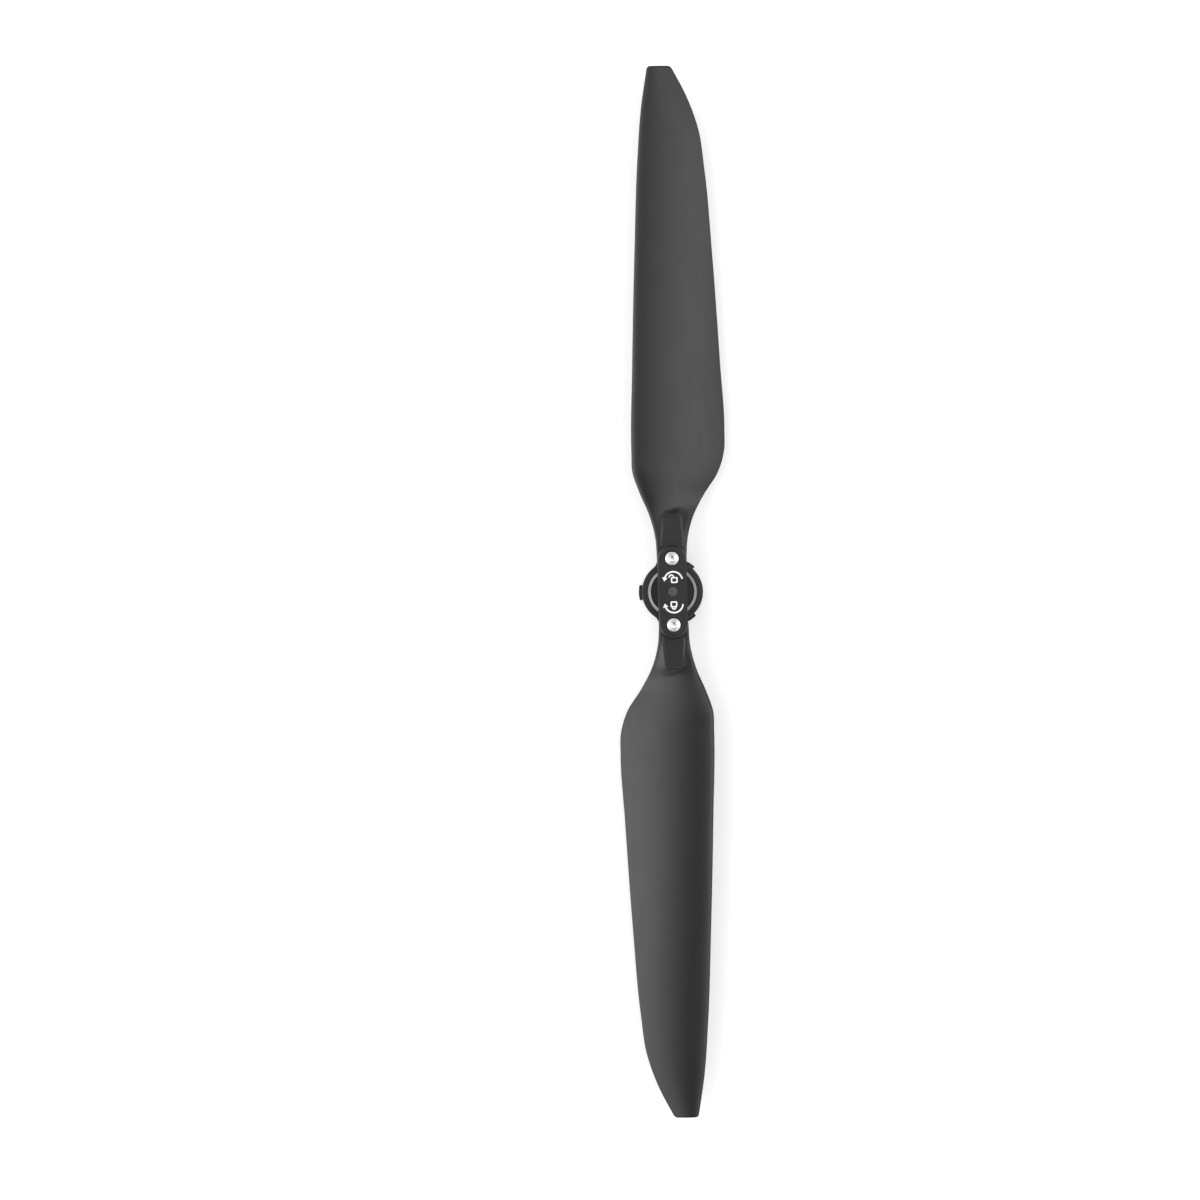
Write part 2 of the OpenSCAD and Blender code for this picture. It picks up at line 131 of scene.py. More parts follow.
def lathe(name, profile, at=(0, 0), steps=ROUND):
    """Turns a closed outline, given anticlockwise, about the vertical line through at.

    A point is (radius, height), or (radius, height, bend) where bend(angle, radius, height) is its radius.
    """
    points, starts = [], []
    for r, z, *bend in profile:
        starts.append(len(points))
        if r == 0:
            points.append((at[0], at[1], z))
            continue
        for k in range(steps):
            a = 2 * pi * k / steps
            q = bend[0](a, r, z) if bend else r
            points.append((at[0] + q * cos(a), at[1] + q * sin(a), z))
    faces = []
    for i, (r0, *_) in enumerate(profile):
        j = (i + 1) % len(profile)
        r1 = profile[j][0]
        if r0 == 0 and r1 == 0:
            continue
        for k in range(steps):
            n = (k + 1) % steps
            a, b, c, d = starts[i] + k, starts[i] + n, starts[j] + n, starts[j] + k
            if r0 == 0:
                faces.append((starts[i], c, d))
            elif r1 == 0:
                faces.append((a, b, starts[j]))
            else:
                faces.append((a, b, c, d))
    return solid(name, points, faces)


def loft(name, rings):
    """Skins a row of rings that have the same number of points, each anticlockwise seen from the last."""
    n = len(rings[0])
    points = [p for ring in rings for p in ring]
    faces = [
        (j * n + k, j * n + (k + 1) % n, (j + 1) * n + (k + 1) % n, (j + 1) * n + k)
        for j in range(len(rings) - 1)
        for k in range(n)
    ]
    last = (len(rings) - 1) * n
    faces.append(tuple(range(n - 1, -1, -1)))
    faces.append(tuple(last + k for k in range(n)))
    return solid(name, points, faces)


def rounded(z0, z1, low, high, steps=4):
    """(inset, height) pairs up a wall whose lower and upper edges are rounded by low and high."""
    pairs = []
    for k in range(steps + 1) if low else (0,):
        a = pi / 2 * k / steps
        pairs.append((low * (1 - sin(a)), z0 + low * (1 - cos(a))))
    for k in range(steps + 1) if high else (0,):
        a = pi / 2 * k / steps
        pairs.append((high * (1 - cos(a)), z1 - high * (1 - sin(a))))
    return pairs


def stadium(r, half, steps=40):
    """A bar along Y with round ends of radius r centred at plus and minus half."""
    up = [(r * cos(a), half + r * sin(a)) for a in np.linspace(0, pi, steps)]
    return up + [(-x, -y) for x, y in up]


def rounded_box(x, y, corner, steps=10):
    """A rectangle of half sizes x and y with rounded corners."""
    points = []
    for k, (sx, sy) in enumerate(((1, 1), (-1, 1), (-1, -1), (1, -1))):
        for a in np.linspace(0, pi / 2, steps):
            b = a + k * pi / 2
            points.append((sx * (x - corner) + corner * cos(b), sy * (y - corner) + corner * sin(b)))
    return points


def block(name, outline, levels):
    """A block from an outline given as a function of the inset, and (inset, height) levels."""
    return loft(name, [[(x, y, z) for x, y in outline(inset)] for inset, z in levels])


def merged(mesh):
    """Merges points that a boolean left on top of one another."""
    work = bmesh.new()
    work.from_mesh(mesh)
    bmesh.ops.remove_doubles(work, verts=work.verts, dist=MERGE)
    bmesh.ops.dissolve_degenerate(work, edges=work.edges, dist=MERGE)
    work.to_mesh(mesh)
    work.free()


def combined(obj, tools, operation):
    """Adds the tools to a piece or cuts them from it. Each is one closed solid, and is deleted."""
    for tool in tools:
        mod = obj.modifiers.new("solid", "BOOLEAN")
        mod.operation, mod.solver, mod.object = operation, "EXACT", tool
    bpy.context.view_layer.update()
    shape = obj.evaluated_get(bpy.context.evaluated_depsgraph_get())
    mesh = bpy.data.meshes.new_from_object(shape)
    obj.modifiers.clear()
    obj.data = mesh
    merged(mesh)
    for tool in tools:
        bpy.data.objects.remove(tool)
    return obj


def turned_copy(obj, name):
    """The same piece half a turn round the spin axis."""
    other = bpy.data.objects.new(name, obj.data.copy())
    other.data.name = name
    bpy.context.scene.collection.objects.link(other)
    other.data.transform(Matrix.Rotation(pi, 4, "Z"))
    return other


def finished(obj, body, nodes, material, crease=32):
    """Scales a piece to metres, smooths it up to the crease angle, and ties it to the frame."""
    obj.data.transform(Matrix.Scale(MM, 4))
    obj.data.shade_smooth()
    obj.data.set_sharp_from_angle(angle=radians(crease))
    mod = obj.modifiers.new("normals", "WEIGHTED_NORMAL")
    mod.keep_sharp = True
    obj.data.materials.clear()
    obj.data.materials.append(material)
    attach(obj, body)
    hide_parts(*nodes)


# ---------------------------------------------------------------- blade


def curve(points, x):
    """The smooth curve through [x, y] points that part.scad uses."""
    p = np.array(points, float)
    step = np.diff(p[:, 0])
    rise = np.diff(p[:, 1]) / step
    inner = (rise[:-1] * step[1:] + rise[1:] * step[:-1]) / (step[1:] + step[:-1])
    slope = np.concatenate([rise[:1], inner, rise[-1:]])
    i = np.clip(np.searchsorted(p[:, 0], x, side="right") - 1, 0, len(step) - 1)
    t = (x - p[i, 0]) / step[i]
    level = p[i, 1] * (2 * t**3 - 3 * t**2 + 1) + p[i + 1, 1] * (3 * t**2 - 2 * t**3)
    return level + step[i] * (slope[i] * (t**3 - 2 * t**2 + t) + slope[i + 1] * (t**3 - t**2))


def ease(t):
    """A smooth step from 0 to 1."""
    c = np.clip(t, 0, 1)
    return c * c * (3 - 2 * c)


def blend_max(a, b, k):
    """The larger of a and b, with the corner between them rounded by k."""
    return (a + b + np.sqrt((a - b) ** 2 + k**2)) / 2


def corner_cut(r):
    """How much the tip's round corners take off each edge of the outline."""
    d = np.maximum(0, r - (TIP_R - TIP_CORNER))
    return TIP_CORNER - np.sqrt(np.maximum(0, TIP_CORNER**2 - d**2))


def airfoil_share(r):
    """How far the section has turned from the flat root, 0, to the blade proper, 1."""
    return ease((r - TWIST_IN) / (TWIST_OUT - TWIST_IN))


def fall(r):
    """The slope of the section across the blade, which is its pitch."""
    return airfoil_share(r) * PITCH / (2 * pi * (r**4 + SWELL_R**4) ** 0.25)


def foil(s, nose):
    """The foil's unscaled thickness at share s of the chord."""
    return s**nose * (1 - s) ** TAIL_POWER


def half_thickness(r, s):
    """Half the section's thickness at share s of the chord: a slab at the root that becomes a foil."""
    w = ease((r - SLAB_END) / (TWIST_OUT - SLAB_END))
    nose = NOSE_ROOT + (NOSE_POWER - NOSE_ROOT) * ease((r - TWIST_IN) / (NOSE_END - TWIST_IN))
    slab = (1 - np.abs(2 * s - 1) ** SLAB_POWER) ** (1 / SLAB_POWER)
    shape = (1 - w) * slab + w * foil(s, nose) / foil(nose / (nose + TAIL_POWER), nose)
    return curve(THICKNESS, r) / 2 * shape + curve(TAIL, r) / 2 * s**2 * (1 - shape)


def pad_away(x, r):
    """How far a point lies outside the flat pad's outline."""
    half = PAD_W - PAD_TAPER * (r - PAD_FROM)
    qx = np.abs(x - PAD_MID) - (half - PAD_CORNER)
    qy = r - (PAD_END - PAD_CORNER)
    return np.hypot(np.maximum(qx, 0), np.maximum(qy, 0)) + np.minimum(np.maximum(qx, qy), 0) - PAD_CORNER


def pad_drop(away):
    """How far the pad's rounded wall has fallen at a distance outside its outline."""
    return PAD_SLOPE * (np.hypot(np.maximum(away, 0), PAD_ROUND) - PAD_ROUND)


def skin(r, s, side):
    """The blade's upper or lower surface at radius r and share s of the chord."""
    lead = curve(LEADING, r) - corner_cut(r)
    trail = curve(TRAILING, r) - corner_cut(r)
    x = s * trail - (1 - s) * lead
    z = curve(AXIS, r) - x * fall(r) + 4 * CAMBER * airfoil_share(r) * (lead + trail) * s * (1 - s)
    z = z + side * half_thickness(r, s) * np.sqrt(1 + fall(r) ** 2)
    room = FLAT_RISE * np.maximum(0, r - FLAT_END) - SKIN_GAP
    away = pad_away(x, r)
    pocket = POCKET_SLOPE * np.maximum(away, 0)
    if side > 0:
        shaped = blend_max(z, PAD_TOP - pad_drop(away), SKIN_ROUND)
        shaped = np.minimum(-blend_max(-shaped, -PAD_TOP - pocket, POCKET_ROUND), EYE_TOP + room)
    else:
        shaped = -blend_max(-z, -EYE_Z - SKIN_GAP - pad_drop(away), SKIN_ROUND)
        shaped = np.maximum(shaped, EYE_Z - room)
    return x, np.where(s == 0, z, shaped)


def blade_sections():
    """The radii of the blade's sections, closest at the root and at the rounded tip."""
    root = np.linspace(PIVOT_R, ROOT_END, ROOT_SECTIONS, endpoint=False)
    middle = np.linspace(ROOT_END, TIP_START, MID_SECTIONS, endpoint=False)
    tip = TIP_START + (TIP_R - TIP_START) * np.sin(np.linspace(0, pi / 2, TIP_SECTIONS))
    return np.concatenate([root, middle, tip])


def blade_skin():
    """Blade A's twisted surface, as a loft of closed sections from the pivot to the tip."""
    shares = (1 - np.cos(np.linspace(0, pi, CHORD_STEPS + 1))) / 2
    rings = []
    for r in blade_sections():
        top_x, top_z = skin(np.full_like(shares, r), shares, 1)
        low_x, low_z = skin(np.full_like(shares, r), shares, -1)
        over = [(x, r, z) for x, z in zip(top_x[::-1], top_z[::-1])]
        under = [(x, r, z) for x, z in zip(low_x[1:], low_z[1:])]
        rings.append(over + under)
    return loft("blade_a_skin", [ring[::-1] for ring in rings])


def eye_profile():
    """The blade's eye, with its edges just rounded."""
    wall = [(EYE_R - inset, z) for inset, z in rounded(EYE_Z, EYE_TOP, EYE_EDGE, EYE_EDGE)]
    return [(0, EYE_Z)] + wall + [(0, EYE_TOP)]


def bore_profile():
    """The hole through the eye, flared a little at both mouths."""
    r, mouth = SLEEVE_HOLE, SLEEVE_HOLE + EYE_FLARE + PAST
    return [
        (0, EYE_Z - PAST), (mouth, EYE_Z - PAST), (r, EYE_Z + EYE_FLARE), (r, EYE_TOP - EYE_FLARE),
        (mouth, EYE_TOP + PAST), (0, EYE_TOP + PAST),
    ]


def build_blades(material):
    blade = blade_skin()
    eye = lathe("eye", eye_profile(), (0, PIVOT_R))
    combined(blade, [eye], "UNION")
    bore = lathe("bore", bore_profile(), (0, PIVOT_R))
    combined(blade, [bore], "DIFFERENCE")
    other = turned_copy(blade, "blade_b_skin")
    finished(blade, "blade_a", ["blade_a"], material)
    finished(other, "blade_b", ["blade_b"], material)


# ---------------------------------------------------------------- hub


def disc_profile():
    """The bayonet disc, with a sunk floor on top and a hollow underneath."""
    edge, lip, foot, corner = MOULD_EDGE, 0.02, 0.1, 0.2
    outer = [(DISC_R - inset, z) for inset, z in rounded(0, DISC_H, edge, DISC_ROUND, 5)]
    inner = [
        (RING_IN + lip, DISC_H), (RING_IN, DISC_H - lip), (RING_IN, FLOOR_Z + foot),
        (RING_IN - foot, FLOOR_Z), (0, FLOOR_Z),
    ]
    under = [
        (0, 0), (CUP_IN - edge, 0), (CUP_IN, edge), (CUP_IN, CUP_DEPTH - corner),
        (CUP_IN + corner, CUP_DEPTH), (CUP_OUT - corner, CUP_DEPTH), (CUP_OUT, CUP_DEPTH - corner),
        (CUP_OUT, edge), (CUP_OUT + edge, 0),
    ]
    return under + outer + inner


def lug(angle):
    """A bayonet lug, with a lead-in ramp on its clockwise end."""
    rings, inner = [], DISC_R - 1             # the lug starts inside the disc
    for a in np.linspace(angle - LUG_SPAN / 2, angle + LUG_SPAN / 2, LUG_SECTIONS):
        along = radians(a - angle + LUG_SPAN / 2) * DISC_R
        top = LUG_H - max(0, LUG_RAMP_LEN - along) * sin(radians(LUG_RAMP))
        ends = min(along, radians(LUG_SPAN) * DISC_R - along)
        reach = LUG_R - LUG_ROUND + sqrt(max(0, LUG_ROUND**2 - max(0, LUG_ROUND - ends) ** 2))
        section = [
            (inner, 0), (reach - LUG_EDGE, 0), (reach, LUG_EDGE), (reach, top - LUG_EDGE),
            (reach - LUG_EDGE, top), (inner, top),
        ]
        c, s = cos(radians(a)), sin(radians(a))
        rings.append([(r * c, r * s, z) for r, z in section])
    return loft("lug", [ring[::-1] for ring in rings])


def rib(angle):
    """A rib across the hollow under the disc, with its ends and its top buried in the disc."""
    chamfer, half = 0.08, (CUP_OUT - CUP_IN) / 2 + 0.3
    bar = block(
        "rib",
        lambda inset: rounded_box(half, RIB_T / 2 - inset, 0.05, 3),
        [(chamfer, RIB_Z), (0, RIB_Z + chamfer), (0, CUP_DEPTH + 0.2)],
    )
    bar.data.transform(Matrix.Translation(((CUP_IN + CUP_OUT) / 2, 0, 0)))
    bar.data.transform(Matrix.Rotation(radians(angle), 4, "Z"))
    return bar


def corner_web(sx, sy):
    """Rounds out the corner between the disc's edge and an arm's side."""
    x = ARM_R + CORNER_ROUND - CORNER_DIP
    y = sqrt((DISC_R + CORNER_ROUND - CORNER_DIP) ** 2 - x**2)
    turn = np.linspace(atan2(y, x), 0, ARC_STEPS)
    arc = [(x - CORNER_ROUND * cos(a), y - CORNER_ROUND * sin(a)) for a in turn]
    inner = ARM_R - 0.5                       # inside the arm
    outline = [(sx * px, sy * py) for px, py in [(inner, arc[0][1] - 0.5)] + arc + [(inner, y)]]
    return block("corner", lambda inset: outline[:: sx * sy], [(0, ARM_Z), (0, ARM_Z + CORNER_H)])


def insert_space(y):
    """The room for a threaded insert in an arm."""
    r = THREAD_R + PRESS_GAP
    low, high = ARM_Z - PAST, ARM_TOP + PAST
    return lathe("space", [(0, low), (r, low), (r, high), (0, high)], (0, y))


def ring_space():
    """The groove for the marker ring, open only where the ring shows."""
    r0, r1, high = RING_IN - PRESS_GAP, RING_OUT + PRESS_GAP, DISC_H + PAST
    groove = lathe("groove", [(r0, RING_Z), (r1, RING_Z), (r1, high), (r0, high)])
    return combined(groove, [middle_bar(RING_SIDE - PRESS_GAP)], "DIFFERENCE")


def middle_bar(side):
    """A bar along Y that covers the middle of the disc."""
    outline = rounded_box(side, DISC_R + PAST, 0.01, 2)
    return block("bar", lambda inset: outline, [(0, 0), (0, DISC_H + 3 * PAST)])


def build_hub(material):
    hub = lathe("hub_base_moulding", disc_profile(), steps=FINE_ROUND)
    arms = block(
        "arms",
        lambda inset: stadium(ARM_R - inset, PIVOT_R),
        rounded(ARM_Z, ARM_TOP, MOULD_EDGE, MOULD_EDGE),
    )
    web = block(
        "web",
        lambda inset: rounded_box(WEB_X - inset, WEB_Y - inset, WEB_CORNER),
        [(0, FLOOR_Z - 0.3), (0, PLATE_Z)],
    )
    combined(hub, [lug(a) for a in LUG_ANGLES] + [rib(a) for a in range(0, 360, 60)], "UNION")
    webs = [corner_web(sx, sy) for sx in (1, -1) for sy in (1, -1)]
    combined(hub, [arms, web] + webs, "UNION")
    r, s, high = INSERT_R + PRESS_GAP, STUB_R + PRESS_GAP, PLATE_Z + PAST
    bore = lathe(
        "bore",
        [(0, -PAST), (r, -PAST), (r, INSERT_TOP), (s, INSERT_TOP), (s, high), (0, high)],
        steps=ROUND + 1,                      # with an even number the boolean leaves open edges
    )
    combined(hub, [ring_space(), bore, insert_space(PIVOT_R), insert_space(-PIVOT_R)], "DIFFERENCE")
    finished(hub, "hub", ["hub_base"], material)


def build_marker_ring(material):
    edge = 0.06
    section = [
        (RING_IN, RING_Z), (RING_OUT, RING_Z), (RING_OUT, DISC_H - edge), (RING_OUT - edge, DISC_H),
        (RING_IN + edge, DISC_H), (RING_IN, DISC_H - edge),
    ]
    ring = lathe("marker_ring_inlay", section, steps=FINE_ROUND)
    combined(ring, [middle_bar(RING_SIDE)], "DIFFERENCE")
    finished(ring, "hub", ["marker_ring"], material)


def build_centre_insert(material):
    edge, mouth = 0.08, 0.25
    wall = [(INSERT_R - inset, z) for inset, z in rounded(INSERT_Z, INSERT_TOP, MOULD_EDGE, MOULD_EDGE)]
    stub = [(STUB_R, INSERT_TOP)]
    stub += [(STUB_R - inset, z) for inset, z in rounded(INSERT_TOP + 1, PLATE_TOP, 0, edge)]
    bore_top = INSERT_Z + mouth + BORE_LEN
    bore = [
        (0, bore_top + 0.5), (BORE_R, bore_top), (BORE_R, INSERT_Z + mouth), (BORE_R + mouth, INSERT_Z),
    ]
    insert = lathe("centre_insert_turned", bore + wall + stub + [(0, PLATE_TOP)])
    finished(insert, "hub", ["centre_insert"], material)


# ---------------------------------------------------------------- clamp plate


def plate_levels():
    """(side inset, end inset, height) up the plate: an eased lower edge, then the rounding of its top."""
    levels = [(inset, inset, z) for inset, z in rounded(PLATE_Z, PLATE_TOP - PLATE_DROP, PLATE_EDGE, 0)]
    for a in np.linspace(0, pi / 2, ARC_STEPS)[1:]:
        share = 1 - cos(a)
        z = PLATE_TOP - PLATE_DROP * (1 - sin(a))
        levels.append((PLATE_SIDE_ROUND * share, PLATE_END_ROUND * share, z))
    return levels


def plate_ring(side, end, z):
    """The clamp plate's outline at one height, from its insets at the sides and the ends."""
    r = PLATE_R - side
    half = PLATE_LEN / 2 - end - r
    return [(x, y, z) for x, y in stadium(r, half, 48)]


def well(y):
    """The screw's clearance hole and its counterbore, with an eased mouth."""
    flare, low, high = WELL_FLARE, PLATE_Z - PAST, PLATE_TOP + PAST
    mouth = [
        (WELL_R, PLATE_TOP - flare), (WELL_R + flare * 0.3, PLATE_TOP - flare * 0.3),
        (WELL_R + flare, PLATE_TOP), (WELL_R + flare, high),
    ]
    lower = [(0, low), (SHANK_HOLE, low), (SHANK_HOLE, HEAD_Z), (WELL_R, HEAD_Z)]
    return lathe("well", lower + mouth + [(0, high)], (0, y))


def build_plate(material):
    plate = loft("top_plate_moulding", [plate_ring(*level) for level in plate_levels()])
    r, low, high = STUB_R + PRESS_GAP, PLATE_Z - PAST, PLATE_TOP + PAST
    middle = lathe("middle", [(0, low), (r, low), (r, high), (0, high)])
    combined(plate, [middle, well(PIVOT_R), well(-PIVOT_R)], "DIFFERENCE")
    finished(plate, "hub", ["top_plate"], material, crease=24)


# ---------------------------------------------------------------- hardware


def at_both_pivots(name, profile, node, material, steps=ROUND):
    """One turned piece at each pivot. The names hold a gap for the pivot's letter."""
    first = lathe(name.format("a"), profile, (0, PIVOT_R), steps)
    other = turned_copy(first, name.format("b"))
    for piece, letter in ((first, "a"), (other, "b")):
        finished(piece, "hub", [node.format(letter)], material)


def thread(a, r, z):
    """The radius of an M2 thread."""
    phase = (z / THREAD_PITCH - a / (2 * pi)) % 1
    return r - THREAD_DEPTH * abs(2 * phase - 1)


def hexagon(a, r, z):
    """The radius of a hexagon whose corners lie at r."""
    return r * cos(pi / 6) / cos(a % (pi / 3) - pi / 6)


def head_top_profile():
    """The head's top: a rounded rim, fine turned rings, and a hexagonal socket that ends in a cone."""
    foot_round, rim_round, ring_step = 0.08, 0.22, 0.035
    rim = [(HEAD_R - inset, z) for inset, z in rounded(HEAD_Z, HEAD_TOP, foot_round, rim_round, 6)]
    rings = [
        (r, HEAD_TOP - RING_DEPTH * (1 - cos(2 * pi * r / RING_PITCH)))
        for r in np.arange(HEAD_R - 0.24, SOCKET_R + 0.12, -ring_step)
    ]
    bottom = HEAD_TOP - SOCKET_D
    mouth = [
        (SOCKET_R + 0.1, HEAD_TOP), (SOCKET_R + 0.01, HEAD_TOP - 0.07),
        (SOCKET_R, HEAD_TOP - 0.14, hexagon),
    ]
    return rim + rings + mouth + [(SOCKET_R, bottom, hexagon), (0, bottom - 0.15)]


def build_screws(material):
    thread_start, thread_end, neck_r = SHANK_END + 0.2, HEAD_Z - 0.35, SCREW_R - 0.05
    turns = np.arange(thread_start, thread_end, THREAD_PITCH / 8)
    shank = [(0, SHANK_END), (SCREW_R - THREAD_DEPTH, SHANK_END)] + [(SCREW_R, z, thread) for z in turns]
    neck = [(neck_r, HEAD_Z - 0.3), (neck_r, HEAD_Z)]
    profile = shank + neck + head_top_profile()
    at_both_pivots("pivot_screw_{}_turned", profile, "pivot_screw_{}", material)


def knurl(a, r, z):
    """The radius of a threaded insert's diamond knurling."""
    lean = KNURL_LEAN * z
    return r - KNURL_DEPTH * (abs(sin(KNURLS * (a + lean))) + abs(sin(KNURLS * (a - lean)))) / 2


def build_threaded_inserts(material):
    hole, edge = SCREW_R + PRESS_GAP, 0.1
    groove_low = (ARM_Z + ARM_TOP - GROOVE_H) / 2
    groove_high = groove_low + GROOVE_H
    lower = [(THREAD_R, z, knurl) for z in np.linspace(ARM_Z + edge, groove_low, 7)]
    upper = [(THREAD_R, z, knurl) for z in np.linspace(groove_high, ARM_TOP - edge, 7)]
    outside = (
        [(THREAD_R - edge, ARM_Z)] + lower + [(GROOVE_R, groove_low), (GROOVE_R, groove_high)]
        + upper + [(THREAD_R - edge, ARM_TOP)]
    )
    inside = [
        (hole + edge, ARM_TOP), (hole, ARM_TOP - edge), (hole, ARM_Z + edge), (hole + edge, ARM_Z),
    ]
    name, node = "threaded_insert_{}_turned", "threaded_insert_{}"
    at_both_pivots(name, inside + outside, node, material, 12 * KNURLS)


def tube_profile(r_in, r_out, z0, z1, edge):
    """A plain tube with its four edges chamfered."""
    return [
        (r_in + edge, z0), (r_out - edge, z0), (r_out, z0 + edge), (r_out, z1 - edge),
        (r_out - edge, z1), (r_in + edge, z1), (r_in, z1 - edge), (r_in, z0 + edge),
    ]


def build_sleeves_and_washers(steel, acetal):
    sleeve = tube_profile(SHANK_HOLE, SLEEVE_R, ARM_TOP, PLATE_Z, 0.12)
    at_both_pivots("pivot_sleeve_{}_turned", sleeve, "pivot_sleeve_{}", steel)
    low = tube_profile(WASHER_IN, WASHER_OUT, ARM_TOP, ARM_TOP + WASHER_T, 0.04)
    at_both_pivots("lower_washer_{}_disc", low, "lower_washer_{}", acetal)
    high = tube_profile(WASHER_IN, WASHER_OUT, PLATE_Z - WASHER_T, PLATE_Z, 0.04)
    at_both_pivots("upper_washer_{}_disc", high, "upper_washer_{}", acetal)


# ---------------------------------------------------------------- materials


def feed(tree, socket, value):
    """Gives a socket a number, a colour or the output of another node."""
    if isinstance(value, (int, float)):
        socket.default_value = value
    elif isinstance(value, tuple):
        socket.default_value = (*value, 1)
    else:
        tree.links.new(value, socket)


def maths(tree, operation, a, b=0.0):
    """The output of a maths node. Each of a and b is a number or an output."""
    node = tree.nodes.new("ShaderNodeMath")
    node.operation = operation
    feed(tree, node.inputs[0], a)
    feed(tree, node.inputs[1], b)
    return node.outputs[0]


class Nodes:
    """A material's node tree, with short calls for the nodes that the finishes use."""

    def __init__(self, name):
        self.material = bpy.data.materials.new(name)
        self.material.use_nodes = True
        self.tree = self.material.node_tree
        self.tree.nodes.clear()
        self.shader = self.add("ShaderNodeBsdfPrincipled")
        output = self.add("ShaderNodeOutputMaterial")
        self.link(self.shader.outputs["BSDF"], output.inputs["Surface"])
        self.place = self.add("ShaderNodeTexCoord").outputs["Object"]

    def add(self, kind):
        return self.tree.nodes.new(kind)

    def link(self, source, target):
        self.tree.links.new(source, target)

    def stretched(self, scale):
        """The place on the object, with each axis scaled, for cells that are longer one way."""
        node = self.add("ShaderNodeMapping")
        node.inputs["Scale"].default_value = scale
        self.link(self.place, node.inputs["Vector"])
        return node.outputs["Vector"]

    def noise(self, size_mm, detail=2.0, rough=0.5, vector=None):
        """Soft noise whose cells are about size_mm across."""
        node = self.add("ShaderNodeTexNoise")
        node.inputs["Scale"].default_value = 1 / (size_mm * MM)
        node.inputs["Detail"].default_value = detail
        node.inputs["Roughness"].default_value = rough
        self.link(vector or self.place, node.inputs["Vector"])
        return node.outputs["Fac"]

    def cells(self, size_mm):
        """How far a point lies from the middle of its cell, for flecks."""
        node = self.add("ShaderNodeTexVoronoi")
        node.inputs["Scale"].default_value = 1 / (size_mm * MM)
        self.link(self.place, node.inputs["Vector"])
        return node.outputs["Distance"]

    def ranged(self, value, low, high, to_low, to_high):
        """Maps low..high to to_low..to_high, and holds the value within them."""
        node = self.add("ShaderNodeMapRange")
        node.inputs["From Min"].default_value = low
        node.inputs["From Max"].default_value = high
        node.inputs["To Min"].default_value = to_low
        node.inputs["To Max"].default_value = to_high
        self.link(value, node.inputs["Value"])
        return node.outputs["Result"]

    def mean(self, a, b, share):
        """A weighted mean, in which a has this share."""
        part_a = maths(self.tree, "MULTIPLY", a, share)
        part_b = maths(self.tree, "MULTIPLY", b, 1 - share)
        return maths(self.tree, "ADD", part_a, part_b)

    def mixed(self, share, low, high):
        """A colour between low and high."""
        node = self.add("ShaderNodeMix")
        node.data_type = "RGBA"               # its colours are inputs 6 and 7, and output 2
        self.link(share, node.inputs["Factor"])
        feed(self.tree, node.inputs[6], low)
        feed(self.tree, node.inputs[7], high)
        return node.outputs[2]

    def bumped(self, height, depth_mm, under=None):
        """A normal with a relief of this depth, on top of another normal."""
        node = self.add("ShaderNodeBump")
        node.inputs["Distance"].default_value = depth_mm * MM
        node.inputs["Strength"].default_value = 1
        self.link(height, node.inputs["Height"])
        if under is not None:
            self.link(under, node.inputs["Normal"])
        return node.outputs["Normal"]

    def set(self, **values):
        """Sets the shader's sockets, by their names with _ for a space, and gives the material."""
        for name, value in values.items():
            feed(self.tree, self.shader.inputs[name.replace("_", " ")], value)
        return self.material


def blade_material():
    """Matt glass-filled nylon: faint flow streaks along the blade and a very fine grain."""
    n = Nodes("glass_filled_nylon")
    streaks = n.noise(1.0, detail=3, rough=0.6, vector=n.stretched((0.9, 0.05, 0.9)))
    clouds = n.noise(9, detail=3, rough=0.55)
    grain = n.noise(0.16, rough=0.6)
    tone = n.mean(streaks, clouds, 0.5)
    colour = n.mixed(n.ranged(tone, 0.3, 0.7, 0, 1), (0.0055, 0.0056, 0.0058), (0.008, 0.008, 0.0082))
    fleck = n.ranged(n.cells(0.4), 0.0, 0.12, 0.35, 0)
    colour = n.mixed(fleck, colour, (0.03, 0.03, 0.031))
    rough = n.ranged(tone, 0.3, 0.7, 0.34, 0.28)
    normal = n.bumped(grain, 0.005)
    normal = n.bumped(streaks, 0.004, normal)
    return n.set(Base_Color=colour, Roughness=rough, Normal=normal, Specular_IOR_Level=0.5)


def grained_material(name, low, high, depth, size, rough):
    """Moulded plastic with a spark-eroded grain of this depth and size, in millimetres."""
    n = Nodes(name)
    coarse = n.noise(size, detail=3, rough=0.65)
    fine = n.noise(size / 3, rough=0.6)
    clouds = n.noise(4)
    both = n.mean(coarse, fine, 0.7)
    tone = n.mean(both, clouds, 0.6)
    colour = n.mixed(n.ranged(tone, 0.35, 0.65, 0, 1), low, high)
    gloss = n.ranged(both, 0.35, 0.65, rough + 0.06, rough - 0.06)
    return n.set(Base_Color=colour, Roughness=gloss, Normal=n.bumped(both, depth))


def metal_material(name, low, high, rough, depth=0.003, size=0.25, metallic=1.0):
    """Bare metal with fine tool marks and a slight change of tone."""
    n = Nodes(name)
    marks = n.noise(size, detail=3, rough=0.6, vector=n.stretched((1, 1, 6)))
    clouds = n.noise(1.2)
    colour = n.mixed(n.ranged(clouds, 0.35, 0.65, 0, 1), low, high)
    gloss = n.ranged(marks, 0.3, 0.7, rough - 0.05, rough + 0.07)
    return n.set(Base_Color=colour, Roughness=gloss, Normal=n.bumped(marks, depth), Metallic=metallic)


